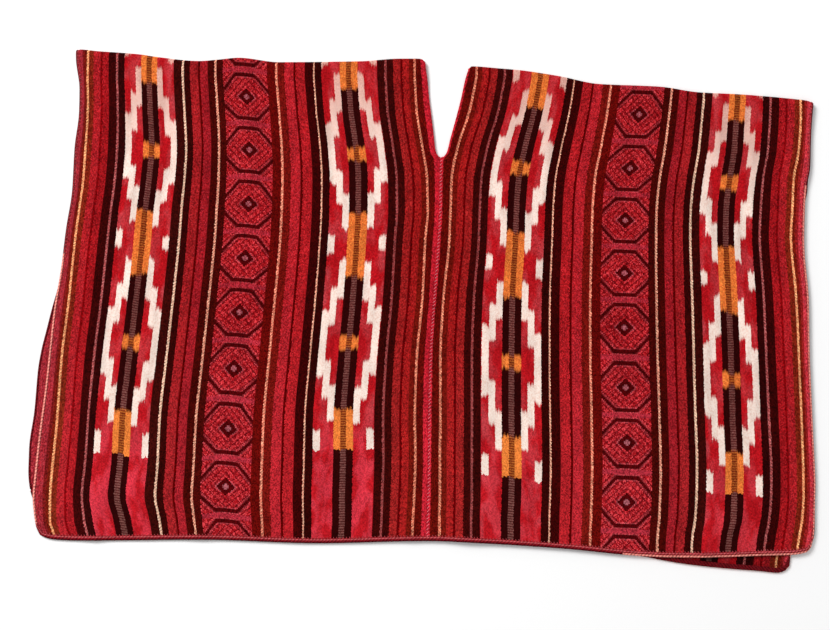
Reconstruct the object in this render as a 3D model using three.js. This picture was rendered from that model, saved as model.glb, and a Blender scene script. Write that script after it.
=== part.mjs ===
import * as THREE from 'three';

// A poncho laid flat: two warp-faced wool webs, left and right, sewn edge to edge down the middle and
// folded over at the shoulders, so that the front layer lies on the back layer. The middle seam is
// left open over the shoulders, which is the neck slot. A woven binding wraps the hems and the sides.
// Millimetres, Z up. X runs across the cloth, Y up to the shoulder fold.

const CLOTH = 1.6; // wall of a web
const SEAM_GAP = 0.3; // between pieces that are sewn to each other
const LAYER_AIR = 0.5; // between the front layer and the back layer under it
const BEND_RADIUS = 2.6; // of the wall's middle, where a web turns over the shoulder
const BEND_STEPS = 6;
const BEND_SETTLE = 55; // below the shoulder, where the front has come down onto the back
const BINDING = { wall: 1.6, lip: 0.7, hemLip: 1, sideLip: 0.3 }; // lips as a share of the first column
const INSET = BINDING.wall + SEAM_GAP; // from the garment's outline to the web's own edge
const EDGE_LIFT = SEAM_GAP + BINDING.lip + 0.1; // room for the lip under a bound edge
const EDGE_FLAT = 12; // how far in from its edge a web stays lifted
const EDGE_EASE = 32; // and where it lies down again
const OVER_BINDING = 1.95; // how much higher the front runs above the back's binding
const DRAPE = { out: -50, over: -14, in: 26, down: 62 }; // the front's fall past the back's outline
const MIDDLE = { x: 19.6, y: 15.5 }; // middle of the garment's outline, in the tables' coordinates

// Columns of a web, in mm from its outer edge: the first one carries the binding's lip.
const WEB_WIDTH = 611;
const ACROSS = [0, 5.8, 20, 42, 66, 92, 118, 144, 172, 215, 270, 330, 400, 470, 540, 585, WEB_WIDTH];

// The seam below the neck slot, then each layer's edges as the cloth lies. Outer edges, slots and
// seams give x at a height y, shoulders and hems give y at a place x.
const FRONT_SEAM = [
  { y: 256, x: 42.4 }, { y: 221, x: 41.7 }, { y: 171, x: 41 }, { y: 122, x: 38.2 }, { y: 73, x: 34.8 },
  { y: 24, x: 31 }, { y: -24, x: 27.4 }, { y: -72, x: 24.8 }, { y: -167, x: 22.8 }, { y: -262, x: 21.8 },
  { y: -358, x: 19 },
];
const BACK_SEAM = [{ y: 246, x: 44 }, { y: 60, x: 30 }, { y: -140, x: 10 }, { y: -326, x: -6 }];
const SHOULDER = {
  left: [
    { x: -554, y: 433 }, { x: -548, y: 436.5 }, { x: -516, y: 434 }, { x: -451, y: 429 },
    { x: -418, y: 424 }, { x: -352, y: 417.5 }, { x: -319, y: 420 }, { x: -287, y: 423 },
    { x: -221, y: 415.5 }, { x: -90, y: 417 }, { x: -25, y: 421.5 }, { x: 4, y: 421.5 },
    { x: 12, y: 420 }, { x: 16.5, y: 415 },
  ],
  right: [
    { x: 88, y: 404 }, { x: 93, y: 408.5 }, { x: 139, y: 405 }, { x: 172, y: 402 }, { x: 237, y: 392 },
    { x: 302, y: 379 }, { x: 400, y: 374.5 }, { x: 465, y: 365 }, { x: 531, y: 361.5 },
    { x: 596, y: 356 }, { x: 640, y: 350 }, { x: 648, y: 345 },
  ],
};
const FRONT = {
  seam: FRONT_SEAM,
  hem: [
    { x: -587, y: -347 }, { x: -576, y: -352 }, { x: -559, y: -354.5 }, { x: -525, y: -356 },
    { x: -337, y: -354.5 }, { x: -149, y: -360 }, { x: 19, y: -356.5 }, { x: 102, y: -360 },
    { x: 227, y: -368 }, { x: 352, y: -379.5 }, { x: 415, y: -381.5 }, { x: 477, y: -381 },
    { x: 540, y: -379 }, { x: 590, y: -377.5 }, { x: 610, y: -374 }, { x: 619, y: -366 },
  ],
  left: {
    outer: [
      { y: 433, x: -554 }, { y: 420, x: -553.5 }, { y: 370, x: -546.5 }, { y: 333, x: -546 },
      { y: 270, x: -551.5 }, { y: 204, x: -553 }, { y: 138, x: -561 }, { y: 73, x: -567 },
      { y: 8, x: -576 }, { y: -56, x: -581 }, { y: -120, x: -586 }, { y: -183, x: -592.5 },
      { y: -246, x: -597.5 }, { y: -288, x: -600 }, { y: -315, x: -597 }, { y: -335, x: -593.5 },
      { y: -347, x: -587 },
    ],
    slot: [
      { y: 415, x: 16.5 }, { y: 404, x: 17.6 }, { y: 387, x: 20 }, { y: 353, x: 23 }, { y: 320, x: 27.2 },
      { y: 286, x: 31 }, { y: 272, x: 32.4 }, { y: 264.5, x: 34 }, { y: 259.5, x: 36.7 },
      { y: 257, x: 39.4 }, { y: 256, x: 42.4 },
    ],
  },
  right: {
    outer: [
      { y: 345, x: 648 }, { y: 320, x: 645 }, { y: 286, x: 642 }, { y: 240, x: 639 },
      { y: 204, x: 631.5 }, { y: 171, x: 628 }, { y: 105, x: 625 }, { y: 24, x: 629 },
      { y: -72, x: 627.5 }, { y: -200, x: 629 }, { y: -260, x: 630 }, { y: -309, x: 627.5 },
      { y: -345, x: 625.5 }, { y: -366, x: 619 },
    ],
    slot: [
      { y: 404, x: 88 }, { y: 387, x: 82.5 }, { y: 353, x: 75 }, { y: 320, x: 66.5 }, { y: 286, x: 57.2 },
      { y: 272, x: 54 }, { y: 264.5, x: 51.6 }, { y: 259.5, x: 48.4 }, { y: 257, x: 45.4 },
      { y: 256, x: 42.4 },
    ],
  },
};
const BACK = {
  seam: BACK_SEAM,
  hem: [
    { x: -598, y: -297 }, { x: -588, y: -303 }, { x: -570, y: -306 }, { x: -300, y: -314 },
    { x: -6, y: -326 }, { x: 165, y: -352 }, { x: 352, y: -380 }, { x: 415, y: -391 },
    { x: 477, y: -398 }, { x: 539, y: -403 }, { x: 566, y: -405.5 }, { x: 578, y: -402 },
    { x: 585, y: -394 },
  ],
  left: {
    outer: [
      { y: 433, x: -554 }, { y: 420, x: -552.5 }, { y: 387, x: -545.5 }, { y: 333, x: -544 },
      { y: 204, x: -550.5 }, { y: 138, x: -558.5 }, { y: 73, x: -566 }, { y: 40, x: -573 },
      { y: 8, x: -581 }, { y: -24, x: -588 }, { y: -56, x: -595 }, { y: -88, x: -599.5 },
      { y: -152, x: -603 }, { y: -215, x: -609.5 }, { y: -246, x: -609.5 }, { y: -277, x: -606 },
      { y: -297, x: -598 },
    ],
    slot: [
      { y: 415, x: 16.5 }, { y: 387, x: 17 }, { y: 320, x: 22 }, { y: 286, x: 26 }, { y: 266, x: 29.5 },
      { y: 254, x: 35 }, { y: 248, x: 39 }, { y: 246, x: 44 },
    ],
  },
  right: {
    outer: [
      { y: 345, x: 648 }, { y: 320, x: 643 }, { y: 250, x: 638 }, { y: 204, x: 634.5 },
      { y: 171, x: 627 }, { y: 105, x: 621 }, { y: 40, x: 619 }, { y: -56, x: 614 }, { y: -150, x: 608 },
      { y: -246, x: 602 }, { y: -340, x: 596 }, { y: -394, x: 585 },
    ],
    slot: [
      { y: 404, x: 88 }, { y: 387, x: 85.5 }, { y: 320, x: 71 }, { y: 286, x: 62 }, { y: 266, x: 57 },
      { y: 254, x: 52.5 }, { y: 248, x: 49 }, { y: 246, x: 44 },
    ],
  },
};

// Courses of each layer, from its shoulder to its hem: heights up the inner edge, shared by both webs
// so that their seam edges match. The last two are the hem and the row under the binding's lip.
const FRONT_COURSES = [
  398, 380, 355, 325, 298, 280, 268, 261.5, 258, 256, 238, 210, 170, 120, 70, 10, -50, -110, -160, -200, -228,
  -250, -270, -288, -304, -319, -332, -343,
];
const BACK_COURSES = [
  396, 370, 335, 300, 275, 258, 249, 246, 225, 190, 130, 60, -10, -80, -150, -205, -240, -268, -290, -306,
];
const LIP_ROW = ACROSS[1];

// The front layer's largest soft folds: middle, direction in degrees from X, half length, half width.
const FOLDS = [
  { x: -497, y: -290, turn: 84, length: 75, width: 17, height: 4.2 },
  { x: -438, y: -262, turn: 100, length: 62, width: 15, height: 2.8 },
  { x: -340, y: -300, turn: 96, length: 70, width: 22, height: 2.4 },
  { x: 496, y: -326, turn: 44, length: 62, width: 17, height: 4.6 },
  { x: 560, y: -235, turn: 86, length: 80, width: 19, height: 3.2 },
  { x: 78, y: -318, turn: 97, length: 70, width: 26, height: 2.6 },
  { x: -45, y: 318, turn: 101, length: 70, width: 20, height: 3.0 },
  { x: 152, y: 300, turn: 76, length: 78, width: 20, height: 3.2 },
];

const COLOURS = { web: 0x9e2b30, binding: 0xa23a41 };

const clamp01 = (t) => Math.min(1, Math.max(0, t));
const ease = (t, from, to) => {
  const k = clamp01((t - from) / (to - from));
  return k * k * (3 - 2 * k);
};

// A smooth line through rows, given as the column `to` against the column `from`, held level past its ends.
function follow(rows, from, to, at) {
  const known = [...rows].sort((a, b) => a[from] - b[from]);
  const last = known.length - 1;
  if (at <= known[0][from]) return known[0][to];
  if (at >= known[last][from]) return known[last][to];
  const i = known.findIndex((row) => row[from] > at) - 1;
  const slope = (a, b) => (known[b][to] - known[a][to]) / (known[b][from] - known[a][from]);
  const here = slope(i, i + 1);
  const soft = (side) => (side * here <= 0 ? 0 : (2 * side * here) / (side + here));
  const start = i > 0 ? soft(slope(i - 1, i)) : here;
  const end = i + 1 < last ? soft(slope(i + 1, i + 2)) : here;
  const span = known[i + 1][from] - known[i][from];
  const t = (at - known[i][from]) / span;
  const bend = t * (1 - t) * span * ((start - here) * (1 - t) - (end - here) * t);
  return THREE.MathUtils.lerp(known[i][to], known[i + 1][to], t) + bend;
}

const edgeX = (edge, y) => follow(edge, 'y', 'x', y);
const lineY = (line, x) => follow(line, 'x', 'y', x);

// How far a place lies inside a layer's bound outline, its sides and its hem: below nought is outside.
function inside(layer, x, y) {
  const left = x - edgeX(layer.left.outer, y);
  const right = edgeX(layer.right.outer, y) - x;
  return Math.min(left, right, y - lineY(layer.hem, x));
}

const edgeLift = (layer, x, y) => EDGE_LIFT * (1 - ease(inside(layer, x, y), EDGE_FLAT, EDGE_EASE));

function foldLift(x, y) {
  return FOLDS.reduce((sum, fold) => {
    const turn = THREE.MathUtils.degToRad(fold.turn);
    const along = (x - fold.x) * Math.cos(turn) + (y - fold.y) * Math.sin(turn);
    const across = (y - fold.y) * Math.cos(turn) - (x - fold.x) * Math.sin(turn);
    return sum + fold.height * Math.exp(-((along / fold.length) ** 2) - (across / fold.width) ** 2);
  }, 0);
}

// The height of the front's underside: it lies on the back, rides up over the back's binding, and
// falls towards the floor where it reaches past the back.
function frontUnder(x, y) {
  const overBack = inside(BACK, x, y);
  const covered = ease(overBack, DRAPE.out, DRAPE.over);
  const onBinding = OVER_BINDING * (1 - ease(overBack, DRAPE.in, DRAPE.down));
  return covered * (CLOTH + LAYER_AIR + onBinding) + edgeLift(FRONT, x, y) + foldLift(x, y);
}

// One layer of one web in plan: a grid of places from its shoulder to its hem.
function layerPlan(layer, side, courses) {
  const { outer, slot } = layer[side];
  const { seam } = layer;
  const sign = side === 'left' ? 1 : -1;
  const atOuter = (y) => edgeX(outer, y) + sign * INSET;
  const atInner = (y) => edgeX(y > seam[0].y ? slot : seam, y) - (sign * SEAM_GAP) / 2;
  const columns = ACROSS.map((across) => {
    const share = across / WEB_WIDTH;
    const topX = THREE.MathUtils.lerp(atOuter(outer[0].y), atInner(slot[0].y), share);
    const lowX = THREE.MathUtils.lerp(atOuter(outer.at(-1).y), atInner(seam.at(-1).y), share);
    const top = lineY(SHOULDER[side], topX) - BEND_RADIUS - CLOTH / 2;
    return { share, top, low: lineY(layer.hem, lowX) + INSET };
  });
  const { top: slotTop, low: seamLow } = columns.at(-1);
  const length = slotTop - seamLow;
  const rows = [0, ...courses.map((y) => (slotTop - y) / length), 1 - LIP_ROW / length, 1];
  return rows.map((depth) =>
    columns.map(({ share, top, low }) => {
      const y = THREE.MathUtils.lerp(top, low, depth);
      return { x: THREE.MathUtils.lerp(atOuter(y), atInner(y), share), y, below: top - y };
    }),
  );
}

// A web's middle surface, from the front hem over the shoulder to the back hem, with its outward face.
function webSurface(side) {
  const front = layerPlan(FRONT, side, FRONT_COURSES);
  const back = layerPlan(BACK, side, BACK_COURSES);
  const half = CLOTH / 2;
  const bendTop = (x, y) => 2 * BEND_RADIUS + edgeLift(BACK, x, y);
  const rows = front.map((row) =>
    row.map(({ x, y, below }) => {
      const under = THREE.MathUtils.lerp(bendTop(x, y), frontUnder(x, y), ease(below, 0, BEND_SETTLE));
      return new THREE.Vector3(x, y, under + half);
    }),
  );
  rows.reverse();
  for (let step = 1; step < BEND_STEPS; step += 1) {
    const turn = (step / BEND_STEPS) * Math.PI;
    rows.push(front[0].map(({ x, y }) => {
      const centre = edgeLift(BACK, x, y) + half + BEND_RADIUS;
      return new THREE.Vector3(x, y + BEND_RADIUS * Math.sin(turn), centre + BEND_RADIUS * Math.cos(turn));
    }));
  }
  rows.push(...back.map((row) => row.map(({ x, y }) => new THREE.Vector3(x, y, edgeLift(BACK, x, y) + half))));

  const sign = side === 'left' ? 1 : -1;
  const out = rows.map((row, i) =>
    row.map((_, j) => {
      const along = rows[Math.min(i + 1, rows.length - 1)][j].clone().sub(rows[Math.max(i - 1, 0)][j]);
      const across = row[Math.min(j + 1, row.length - 1)].clone().sub(row[Math.max(j - 1, 0)]);
      return across.cross(along).multiplyScalar(sign).normalize();
    }),
  );
  return { rows, out };
}

// A closed body from rows of points that each run once round its section, with both ends capped.
function sweep(sections) {
  const count = sections[0].length;
  const points = sections.flat();
  const faces = [];
  for (let i = 0; i + 1 < sections.length; i += 1) {
    for (let j = 0; j < count; j += 1) {
      const [a, b] = [i * count + j, i * count + ((j + 1) % count)];
      faces.push([a, b, b + count], [a, b + count, a + count]);
    }
  }
  return { points, faces, count };
}

function bodyGeometry(points, faces) {
  const volume = faces.reduce((sum, [a, b, c]) => sum + points[a].dot(points[b].clone().cross(points[c])), 0);
  const facing = volume > 0 ? faces : faces.map(([a, b, c]) => [a, c, b]);
  const geometry = new THREE.BufferGeometry().setFromPoints(points);
  geometry.setIndex(facing.flat());
  geometry.computeVertexNormals();
  return geometry;
}

// A web as a wall: each course is a section that runs out along its face and back along its lining.
function webGeometry({ rows, out }) {
  const sections = rows.map((row, i) => {
    const face = row.map((point, j) => point.clone().addScaledVector(out[i][j], CLOTH / 2));
    const reverse = row.map((point, j) => point.clone().addScaledVector(out[i][j], -CLOTH / 2));
    return [...face, ...reverse.reverse()];
  });
  const { points, faces, count } = sweep(sections);
  for (const first of [0, (sections.length - 1) * count]) {
    const flip = first === 0;
    for (let j = 0; j + 1 < count / 2; j += 1) {
      const [a, b, c, d] = [first + j, first + j + 1, first + count - 2 - j, first + count - 1 - j];
      faces.push(...(flip ? [[a, c, b], [a, d, c]] : [[a, b, c], [a, c, d]]));
    }
  }
  return bodyGeometry(points, faces);
}

// A place on a web's grid at fractional column and row, on the same facets as its wall.
function placeOn({ rows, out }, column, row) {
  const [j, i] = [Math.min(Math.floor(column), rows[0].length - 2), Math.min(Math.floor(row), rows.length - 2)];
  const [s, t] = [column - j, row - i];
  const across = (row) => row[j].clone().lerp(row[j + 1], s);
  const mix = (grid) => across(grid[i]).lerp(across(grid[i + 1]), t);
  return { point: mix(rows), out: mix(out).normalize() };
}

// The binding's section at one place: a channel round the web's edge, its lips 0.3 mm off both faces.
function bindingSection(edge, lip) {
  const away = edge.point.clone().sub(lip.point).normalize();
  const near = CLOTH / 2 + SEAM_GAP;
  const far = near + BINDING.lip;
  const at = (base, reach, height) =>
    base.point.clone().addScaledVector(away, reach).addScaledVector(base.out, height);
  return [
    at(lip, 0, far), at(edge, INSET, far), at(edge, INSET, -far), at(lip, 0, -far),
    at(lip, 0, -near), at(edge, SEAM_GAP, -near), at(edge, SEAM_GAP, near), at(lip, 0, near),
  ];
}

function bindingGeometry(sections) {
  const { points, faces, count } = sweep(sections);
  for (const first of [0, (sections.length - 1) * count]) {
    for (const [a, b, c, d] of [[0, 1, 6, 7], [1, 2, 5, 6], [2, 3, 4, 5]]) {
      const corners = [[a, b, c], [a, c, d]].map((face) => face.map((k) => first + k));
      faces.push(...(first === 0 ? corners.map(([p, q, r]) => [p, r, q]) : corners));
    }
  }
  return bodyGeometry(points, faces);
}

// The binding along one web's hem, from its rounded outer corner to the middle seam.
function hemSections(web, hemRow, inward) {
  const { hemLip } = BINDING;
  const corner = [
    { edge: [0, 3], lip: [BINDING.sideLip, 3] }, { edge: [0, 2], lip: [0.55, 2] },
    { edge: [0, 1], lip: [0.9, 1.35] }, { edge: [0, 0], lip: [hemLip, hemLip] },
    { edge: [1, 0], lip: [1.35, hemLip] },
  ];
  const straight = ACROSS.map((_, column) => ({ edge: [column, 0], lip: [column, hemLip] })).slice(2);
  const place = ([column, row]) => placeOn(web, column, hemRow + inward * row);
  return [...corner, ...straight].map(({ edge, lip }) => bindingSection(place(edge), place(lip)));
}

function hemBinding(webs, layer) {
  const [left, right] = webs.map((web) =>
    layer === 'front' ? hemSections(web, 0, 1) : hemSections(web, web.rows.length - 1, -1),
  );
  const middle = left.at(-1).map((point, k) => point.clone().lerp(right.at(-1)[k], 0.5));
  return bindingGeometry([...left.slice(0, -1), middle, ...right.slice(0, -1).reverse()]);
}

// The binding up one web's side, from the front hem's corner over the shoulder to the back hem's.
function sideBinding(web) {
  const [first, last] = [3, web.rows.length - 4];
  const butt = 0.02; // share of a course left open where it meets the hem's binding
  const stations = [first + butt];
  for (let row = first + 1; row < last; row += 1) stations.push(row);
  stations.push(last - butt);
  return bindingGeometry(
    stations.map((row) => bindingSection(placeOn(web, 0, row), placeOn(web, BINDING.sideLip, row))),
  );
}

function piece(name, geometry, color) {
  const mesh = new THREE.Mesh(geometry, new THREE.MeshStandardMaterial({ color, roughness: 0.9, metalness: 0 }));
  mesh.name = name;
  return mesh;
}

const webs = { left: webSurface('left'), right: webSurface('right') };
const both = [webs.left, webs.right];

const poncho = new THREE.Group();
poncho.add(
  piece('web_left', webGeometry(webs.left), COLOURS.web),
  piece('web_right', webGeometry(webs.right), COLOURS.web),
  piece('hem_binding_front', hemBinding(both, 'front'), COLOURS.binding),
  piece('hem_binding_back', hemBinding(both, 'back'), COLOURS.binding),
  piece('side_binding_left', sideBinding(webs.left), COLOURS.binding),
  piece('side_binding_right', sideBinding(webs.right), COLOURS.binding),
);
poncho.position.set(-MIDDLE.x, -MIDDLE.y, 0);

export default poncho;
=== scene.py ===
import math
from functools import partial

import bpy
import numpy as np
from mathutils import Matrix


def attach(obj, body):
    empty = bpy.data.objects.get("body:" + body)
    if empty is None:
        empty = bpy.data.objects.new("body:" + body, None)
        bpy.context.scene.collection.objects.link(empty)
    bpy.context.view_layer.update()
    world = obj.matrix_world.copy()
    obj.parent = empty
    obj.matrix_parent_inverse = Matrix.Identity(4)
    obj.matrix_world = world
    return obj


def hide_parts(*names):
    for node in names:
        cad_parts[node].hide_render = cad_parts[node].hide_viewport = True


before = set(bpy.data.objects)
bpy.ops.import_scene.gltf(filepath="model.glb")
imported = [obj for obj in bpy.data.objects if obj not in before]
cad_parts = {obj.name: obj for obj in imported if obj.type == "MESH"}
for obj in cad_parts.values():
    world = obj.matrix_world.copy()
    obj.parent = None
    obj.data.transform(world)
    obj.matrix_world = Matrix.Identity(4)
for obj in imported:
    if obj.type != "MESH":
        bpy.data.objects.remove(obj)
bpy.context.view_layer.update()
scene = bpy.context.scene
mm = 0.001
print("poncho: the packed model is loaded")

# Tables of the garment as it lies, in mm from the place under the camera's middle.
# Outer edges, slots and seams give x at a height y, shoulders and hems give y at a place x.
frontLayer = {
    "seam": {"y": [256, 221, 171, 122, 73, 24, -24, -72, -167, -262, -358],
             "x": [42.4, 41.7, 41, 38.2, 34.8, 31, 27.4, 24.8, 22.8, 21.8, 19]},
    "hem": {"x": [-587, -576, -559, -525, -337, -149, 19, 102, 227, 352, 415, 477, 540, 590, 610, 619],
            "y": [-347, -352, -354.5, -356, -354.5, -360, -356.5, -360, -368, -379.5, -381.5, -381, -379,
                  -377.5, -374, -366]},
    "left": {
        "outer": {"y": [433, 420, 370, 333, 270, 204, 138, 73, 8, -56, -120, -183, -246, -288, -315,
                        -335, -347],
                  "x": [-554, -553.5, -546.5, -546, -551.5, -553, -561, -567, -576, -581, -586, -592.5,
                        -597.5, -600, -597, -593.5, -587]},
        "slot": {"y": [415, 404, 387, 353, 320, 286, 272, 264.5, 259.5, 257, 256],
                 "x": [16.5, 17.6, 20, 23, 27.2, 31, 32.4, 34, 36.7, 39.4, 42.4]},
    },
    "right": {
        "outer": {"y": [345, 320, 286, 240, 204, 171, 105, 24, -72, -200, -260, -309, -345, -366],
                  "x": [648, 645, 642, 639, 631.5, 628, 625, 629, 627.5, 629, 630, 627.5, 625.5, 619]},
        "slot": {"y": [404, 387, 353, 320, 286, 272, 264.5, 259.5, 257, 256],
                 "x": [88, 82.5, 75, 66.5, 57.2, 54, 51.6, 48.4, 45.4, 42.4]},
    },
}
backLayer = {
    "seam": {"y": [246, 60, -140, -326], "x": [44, 30, 10, -6]},
    "hem": {"x": [-598, -588, -570, -300, -6, 165, 352, 415, 477, 539, 566, 578, 585],
            "y": [-297, -303, -306, -314, -326, -352, -380, -391, -398, -403, -405.5, -402, -394]},
    "left": {
        "outer": {"y": [433, 420, 387, 333, 204, 138, 73, 40, 8, -24, -56, -88, -152, -215, -246, -277,
                        -297],
                  "x": [-554, -552.5, -545.5, -544, -550.5, -558.5, -566, -573, -581, -588, -595, -599.5,
                        -603, -609.5, -609.5, -606, -598]},
        "slot": {"y": [415, 387, 320, 286, 266, 254, 248, 246], "x": [16.5, 17, 22, 26, 29.5, 35, 39, 44]},
    },
    "right": {
        "outer": {"y": [345, 320, 250, 204, 171, 105, 40, -56, -150, -246, -340, -394],
                  "x": [648, 643, 638, 634.5, 627, 621, 619, 614, 608, 602, 596, 585]},
        "slot": {"y": [404, 387, 320, 286, 266, 254, 248, 246], "x": [88, 85.5, 71, 62, 57, 52.5, 49, 44]},
    },
}
shoulders = {
    "left": {"x": [-554, -548, -516, -451, -418, -352, -319, -287, -221, -90, -25, 4, 12, 16.5],
             "y": [433, 436.5, 434, 429, 424, 417.5, 420, 423, 415.5, 417, 421.5, 421.5, 420, 415]},
    "right": {"x": [88, 93, 139, 172, 237, 302, 400, 465, 531, 596, 640, 648],
              "y": [404, 408.5, 405, 402, 392, 379, 374.5, 365, 361.5, 356, 350, 345]},
}

# How the warp runs in the front layer: where five threads of each web lie (x) at these heights.
threadHeights = [390, 336, 270, 220, 171, 122, 24, -72, -167, -225, -285, -325, -345, -368]
threads = {
    "left": {
        24: [-534, -532, -534, -536, -541, -546, -553, -562, -566, -570, -573, -572, -566, -563],
        132: [-433, -430, -426, -429, -434, -437, -445, -454, -462, -463, -467, -457, -453, -450],
        300: [-276, -271, -267, -266, -267, -269, -277, -285, -293, -295, -296, -293, -291, -290],
        478: [-108, -104, -95, -91, -91, -93, -99, -107, -113, -113, -114, -114, -115, -115],
        588: [-1, 2, 12, 19, 20, 16, 11, 2, -1, 0, -2, -4, -5, -5],
    },
    "right": {
        24: [627, 627, 622, 612, 608, 604, 609, 610, 611, 611, 610, 606, 602, 597],
        132: [527, 523, 517, 508, 501, 499, 501, 502, 502, 503, 501, 497, 492, 488],
        300: [371, 364, 353, 343, 338, 336, 333, 332, 333, 333, 331, 329, 327, 326],
        478: [204, 194, 177, 167, 163, 161, 155, 153, 152, 152, 151, 149, 149, 148],
        588: [101, 90, 69, 60, 58, 56, 46, 41, 41, 40, 40, 39, 39, 39],
    },
}

# Soft folds of the front layer: middle, turn in degrees from X, half length, half width and height.
folds = {
    "x": [-497, -438, -340, 496, 560, 78, -45, 152],
    "y": [-290, -262, -300, -326, -235, -318, 318, 300],
    "turn": [84, 100, 96, 44, 86, 97, 101, 76],
    "length": [75, 62, 70, 62, 80, 70, 70, 78],
    "width": [17, 15, 22, 17, 19, 26, 20, 20],
    "height": [4.8, 3.4, 2.9, 5.4, 3.8, 3.1, 3.4, 3.7],
}

# Lesser creases of the worn cloth, low uneven ridges in the same columns, on the front and on the back.
creases = {
    "front": {
        "x": [-530, -455, -395, -250, -180, -60, -15, 130, 215, 300, 385, 455, 575, 600, 520, 330, -330,
              -505, 386, 452],
        "y": [60, 150, -190, 40, -250, -90, 190, 90, -210, 200, -120, 60, 120, -40, 250, 330, 350,
              -170, -352, -362],
        "turn": [82, 94, 70, 99, 88, 96, 84, 78, 103, 88, 95, 80, 92, 86, 74, 12, 168, 96, 83, 79],
        "length": [95, 120, 80, 150, 85, 130, 70, 110, 90, 95, 140, 100, 85, 70, 60, 75, 80, 55, 52, 58],
        "width": [15, 24, 18, 30, 20, 27, 14, 22, 19, 25, 28, 21, 14, 12, 17, 13, 14, 13, 10, 13],
        "height": [2.3, 1.8, 2.8, 1.6, 2.4, 2.0, 2.1, 2.3, 2.7, 1.5, 1.9, 2.2, 2.8, 1.8, 2.4, 1.7, 1.9,
                   2.9, 2.8, 3.6],
    },
    "back": {
        "x": [-480, -350, -210, -70, 95, 240, 390, 520],
        "y": [-60, 170, -200, 60, -150, 110, -260, 10],
        "turn": [88, 97, 80, 94, 85, 101, 60, 90],
        "length": [120, 90, 100, 140, 95, 110, 80, 120],
        "width": [20, 26, 18, 24, 22, 19, 17, 25],
        "height": [1.5, 1.2, 1.9, 1.1, 1.6, 1.4, 2.1, 1.5],
    },
}


def follow(table, key, value, at):  # a smooth line through a table's rows, level past its ends
    known, held = np.array(table[key], float), np.array(table[value], float)
    order = np.argsort(known)
    known, held = known[order], held[order]
    span = np.diff(known)
    slope = np.diff(held) / span
    before, after = slope[:-1], slope[1:]
    same = before * after > 0
    total = np.where(same, before + after, 1)
    lean = np.concatenate([slope[:1], np.where(same, 2 * before * after / total, 0), slope[-1:]])
    at = np.clip(at, known[0], known[-1])
    i = np.clip(np.searchsorted(known, at, side="right") - 1, 0, len(span) - 1)
    t = (at - known[i]) / span[i]
    bend = t * (1 - t) * span[i] * ((lean[i] - slope[i]) * (1 - t) - (lean[i + 1] - slope[i]) * t)
    return held[i] + (held[i + 1] - held[i]) * t + bend


def ease(t, start, end):
    k = np.clip((t - start) / (end - start), 0, 1)
    return k * k * (3 - 2 * k)


cloth = {
    "middle": (19.6, 15.5),  # of the garment's outline, over the frame's origin
    "wall": 1.6,
    "width": 611,
    "spread": {"left": (0, 611), "right": (4, 600)},  # where a web's warp starts, and how far it spreads
    "seamGap": 0.3,
    "layerAir": 0.5,
    "bendRadius": 2.6,  # of the wall's middle, over the shoulder
    "bendSteps": 12,
    "bendSettle": 55,  # below the shoulder, where the front has come down onto the back
    "inset": 1.9,  # from the garment's outline to the web's own edge, under the binding
    "edgeLift": 1.5,  # room for the binding's lip under a bound edge
    "edgeFlat": 12,
    "edgeEase": 32,
    "overBinding": 1.95,
    "drape": {"out": -50, "over": -14, "inner": 26, "down": 62},  # the front's fall past the back
    "seamLift": (1.3, 15),  # height and reach of the ridge that the sewn middle seam makes
    "pressed": 0.4,  # share of the front's creases that the back layer takes with them
    "columns": 118,
    "slotCourses": 30,
    "slotFoot": [12, 9, 6.5, 4.5, 3, 1.8, 0.9],  # closer rows round the foot of the slot
    "course": 5.2,  # spacing of the rows down the cloth
    "lipWidth": 5.8,  # first column: the binding's lip ends there
    "rim": 0.5,  # how far the cloth's bare edges round outwards
}
drape = cloth["drape"]


def inside(layer, x, y):  # distance in from a layer's sides and hem
    left = x - follow(layer["left"]["outer"], "y", "x", y)
    right = follow(layer["right"]["outer"], "y", "x", y) - x
    return np.minimum(np.minimum(left, right), y - follow(layer["hem"], "x", "y", x))


def edgeLift(layer, x, y):
    return cloth["edgeLift"] * (1 - ease(inside(layer, x, y), cloth["edgeFlat"], cloth["edgeEase"]))


def ridges(table, x, y):
    lift = np.zeros_like(x)
    for ridgeX, ridgeY, turn, length, width, height in zip(*table.values()):
        angle = math.radians(turn)
        along = (x - ridgeX) * math.cos(angle) + (y - ridgeY) * math.sin(angle)
        across = (y - ridgeY) * math.cos(angle) - (x - ridgeX) * math.sin(angle)
        lift += height * np.exp(-((along / length) ** 2) - (across / width) ** 2)
    return lift


def backRise(x, y):
    height, reach = cloth["seamLift"]
    off = (x - follow(backLayer["seam"], "y", "x", y)) / reach
    return ridges(creases["back"], x, y) + height * np.exp(-(off ** 2))


def backUnder(x, y):  # the height of the back layer's underside
    return edgeLift(backLayer, x, y) + cloth["pressed"] * ridges(folds, x, y) + backRise(x, y)


def frontUnder(x, y):
    overBack = inside(backLayer, x, y)
    covered = ease(overBack, drape["out"], drape["over"])
    onBinding = cloth["overBinding"] * (1 - ease(overBack, drape["inner"], drape["down"]))
    lying = covered * (cloth["wall"] + cloth["layerAir"] + onBinding + backRise(x, y))
    worn = ridges(folds, x, y) + ridges(creases["front"], x, y)
    return lying + edgeLift(frontLayer, x, y) + worn


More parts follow.
